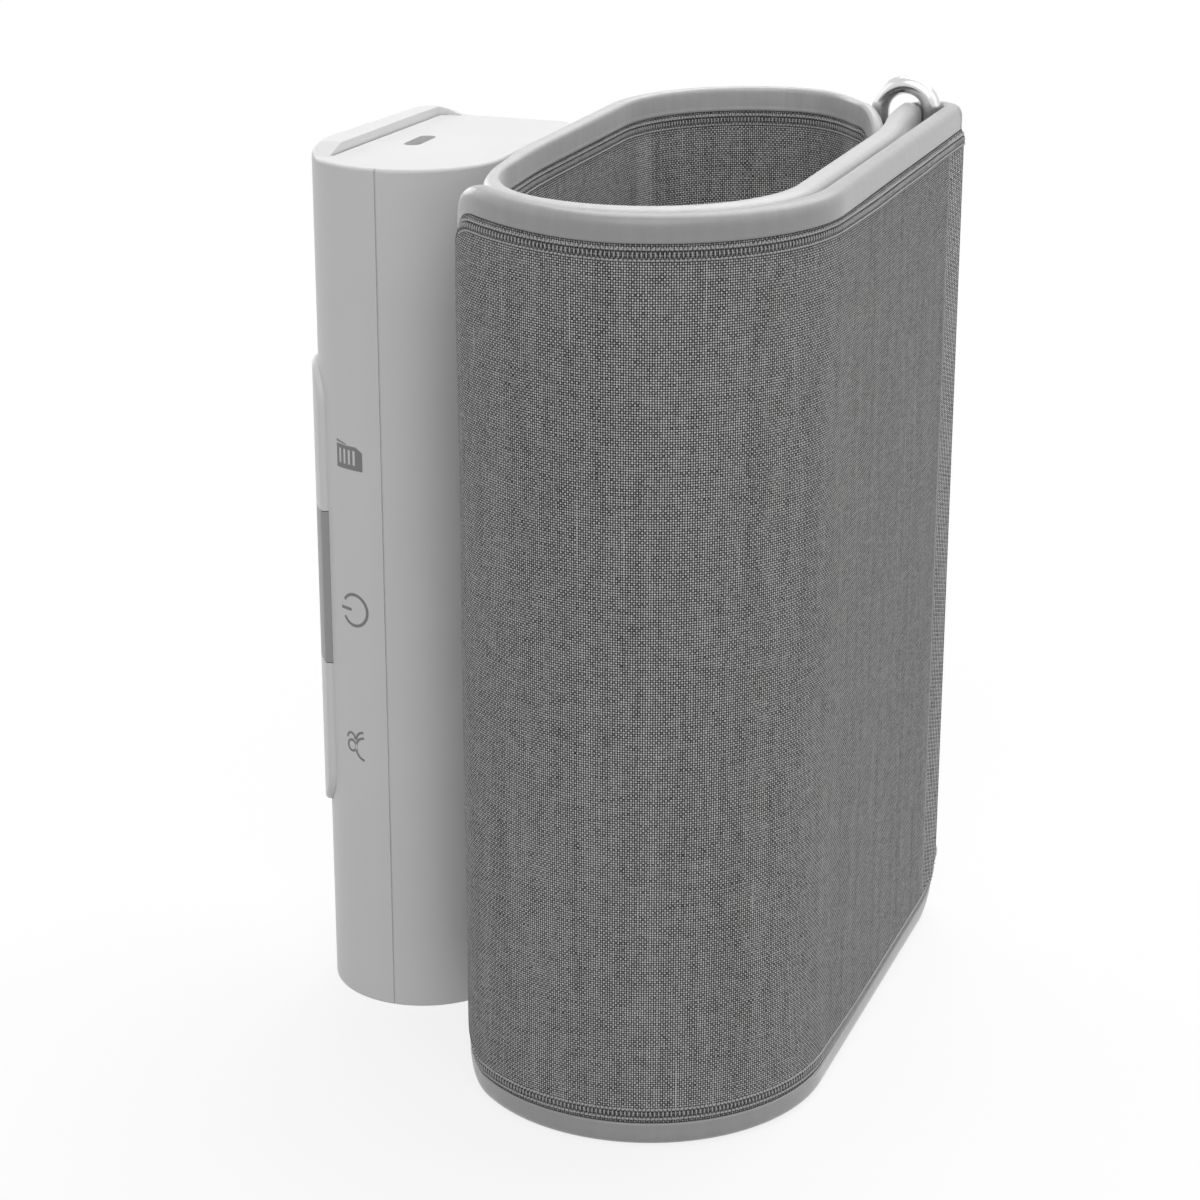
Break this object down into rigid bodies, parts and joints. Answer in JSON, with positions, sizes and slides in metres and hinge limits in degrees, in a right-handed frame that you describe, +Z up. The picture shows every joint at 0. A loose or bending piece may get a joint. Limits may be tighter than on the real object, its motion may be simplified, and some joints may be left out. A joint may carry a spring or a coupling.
{
  "type": "arm-in blood pressure monitor",
  "caption": "Upright arm blood pressure monitor: D-section case with a button strip and charging slot on a stadium-shaped fabric cuff with light edge binding, chrome ring and folded-back strap.",
  "frame": {"origin": "on the case's flat bottom face, at the middle of the case's width, in the plane where the two case shells meet", "axes": "+Z up along the arm opening, +Y from the case to the cuff, so the display and buttons face -Y, and +X towards the case's round side with the button icons"},
  "size_m": [0.1101, 0.0928, 0.1494],
  "materials": {
    "case_plastic": "satin moulded, light grey",
    "light_button": "satin moulded, light grey",
    "dark_button": "satin moulded, dark grey",
    "window": "polished, dark tinted",
    "lcd": "matt polariser",
    "black_plastic": "fine texture",
    "board": "solder mask",
    "chip": "moulded epoxy",
    "steel": "zinc plated",
    "cell": "pouch foil",
    "rubber": "silicone, matt",
    "white_plastic": "natural nylon",
    "chrome": "polished plating",
    "fabric": "fine plain weave, grey melange",
    "lining": "fine plain weave, grey melange",
    "binding": "smooth elastic tape, light grey",
    "hook": "hook and loop pile",
    "bladder": "thin welded film"
  },
  "bodies": {
    "cuff_and_case": {"front_shell": "case_plastic", "rear_shell": "case_plastic", "display_window": "window", "lcd_panel": "lcd", "lcd_frame": "black_plastic", "switch_board": "board", "key_switches": "black_plastic", "board_screws": "steel", "main_board": "board", "board_chips": "chip", "usb_socket": "steel", "battery": "cell", "pump_motor": "steel", "pump_head": "white_plastic", "pump_sleeve": "rubber", "exhaust_valve": "steel", "pressure_sensor": "white_plastic", "air_manifold": "white_plastic", "air_tube": "white_plastic", "port_seal": "rubber", "cuff_bracket": "case_plastic", "case_screws": "steel", "bracket_screws": "steel", "cuff_cover": "fabric", "cuff_lining": "lining", "air_bladder": "bladder", "cuff_top_binding": "binding", "cuff_bottom_binding": "binding", "loop_pad": "hook", "ring_sleeve": "fabric", "strap_fold": "fabric"},
    "user_button": {"user_button": "light_button"},
    "power_button": {"power_button": "dark_button"},
    "memory_button": {"memory_button": "light_button"},
    "ring": {"ring": "chrome"},
    "strap": {"strap_fabric": "fabric", "strap_hook_pad": "hook", "strap_binding": "binding"},
    "strap_end": {"strap_end_fabric": "fabric", "strap_end_hook_pad": "hook", "strap_end_binding": "binding"},
    "strap_tip": {"strap_tip_fabric": "fabric", "strap_tip_hook_pad": "hook", "strap_tip_binding": "binding"}
  },
  "joints": [
    {"name": "user_button_press", "type": "slide", "parent": "cuff_and_case", "child": "user_button", "axis": [-0.3256, 0.9455, 0], "range_m": [0, 0.0005], "stiffness_N_per_m": 500, "springref_m": -0.0005},
    {"name": "power_button_press", "type": "slide", "parent": "cuff_and_case", "child": "power_button", "axis": [-0.3256, 0.9455, 0], "range_m": [0, 0.0005], "stiffness_N_per_m": 500, "springref_m": -0.0005},
    {"name": "memory_button_press", "type": "slide", "parent": "cuff_and_case", "child": "memory_button", "axis": [-0.3256, 0.9455, 0], "range_m": [0, 0.0005], "stiffness_N_per_m": 500, "springref_m": -0.0005},
    {"name": "ring_swivel", "type": "hinge", "parent": "cuff_and_case", "child": "ring", "pos_m": [-0.0437, 0.0618, 0.0725], "axis": [0, 0, 1], "range_deg": [-1.5, 1.5]},
    {"name": "strap_peel", "type": "hinge", "parent": "cuff_and_case", "child": "strap", "pos_m": [-0.0437, 0.0706, 0.0725], "axis": [0, 0, 1], "range_deg": [0, 50], "deforming": ["strap_fold"]},
    {"name": "strap_end_unbend", "type": "hinge", "parent": "strap", "child": "strap_end", "pos_m": [0.03224, 0.07505, 0.0725], "axis": [0, 0, 1], "range_deg": [0, 45]},
    {"name": "strap_tip_unbend", "type": "hinge", "parent": "strap_end", "child": "strap_tip", "pos_m": [0.05625, 0.05104, 0.0725], "axis": [0, 0, 1], "range_deg": [0, 45]}
  ],
  "couplings": [
    {"joint": "strap_end_unbend", "follows": "strap_peel", "ratio": 0.9},
    {"joint": "strap_tip_unbend", "follows": "strap_peel", "ratio": 0.9}
  ]
}
